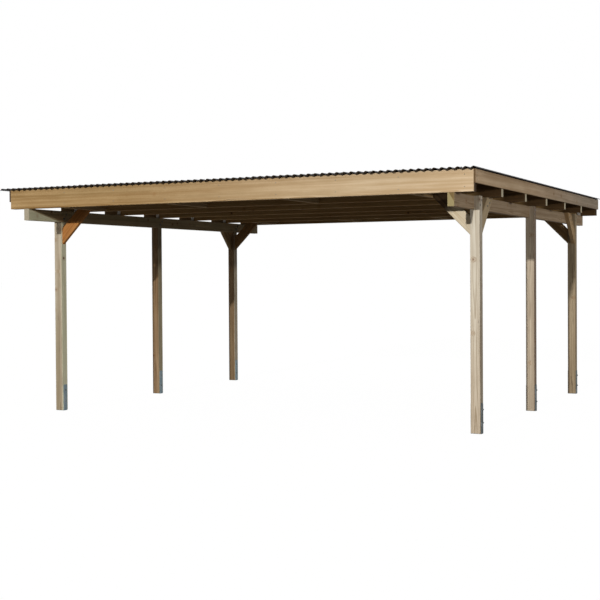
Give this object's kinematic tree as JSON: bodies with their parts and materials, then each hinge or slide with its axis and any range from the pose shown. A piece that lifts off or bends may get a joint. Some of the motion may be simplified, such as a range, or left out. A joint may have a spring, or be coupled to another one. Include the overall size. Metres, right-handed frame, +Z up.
{
  "type": "double carport",
  "caption": "Flat-roofed double carport: notched timber posts in steel anchors carry beams, rafters, knee braces and fascia boards under lapped corrugated sheets; open on all sides.",
  "frame": {"origin": "under the middle of the roof, level with the undersides of the post anchors", "axes": "X across the drive-in width, front of the carport towards -Y, Z up"},
  "size_m": [5.11, 5.248, 2.3649],
  "materials": {
    "post_timber": "planed, pressure treated",
    "beam_timber": "planed, pressure treated",
    "rafter_timber": "planed, pressure treated",
    "fascia_timber": "planed, pressure treated",
    "brace_timber": "planed, pressure treated",
    "galvanised_steel": "hot-dip galvanised",
    "roof_sheet": "satin"
  },
  "bodies": {
    "root": {"post_left_front": "post_timber", "anchor_left_front": "galvanised_steel", "post_left_middle": "post_timber", "anchor_left_middle": "galvanised_steel", "post_left_rear": "post_timber", "anchor_left_rear": "galvanised_steel", "post_right_front": "post_timber", "anchor_right_front": "galvanised_steel", "post_right_middle": "post_timber", "anchor_right_middle": "galvanised_steel", "post_right_rear": "post_timber", "anchor_right_rear": "galvanised_steel", "beam_left": "beam_timber", "beam_right": "beam_timber", "rafter_1": "rafter_timber", "rafter_2": "rafter_timber", "rafter_3": "rafter_timber", "rafter_4": "rafter_timber", "rafter_5": "rafter_timber", "rafter_6": "rafter_timber", "rafter_7": "rafter_timber", "trimmers_front": "rafter_timber", "fascia_front": "fascia_timber", "trimmers_rear": "rafter_timber", "fascia_rear": "fascia_timber", "fascia_left": "fascia_timber", "brackets_left": "galvanised_steel", "fascia_right": "fascia_timber", "brackets_right": "galvanised_steel", "brace_cross_left_front": "brace_timber", "brace_side_left_front": "brace_timber", "brace_cross_left_rear": "brace_timber", "brace_side_left_rear": "brace_timber", "brace_cross_right_front": "brace_timber", "brace_side_right_front": "brace_timber", "brace_cross_right_rear": "brace_timber", "brace_side_right_rear": "brace_timber", "roof_sheet_1": "roof_sheet", "roof_sheet_2": "roof_sheet", "roof_sheet_3": "roof_sheet", "roof_sheet_4": "roof_sheet", "roof_sheet_5": "roof_sheet"}
  },
  "joints": []
}
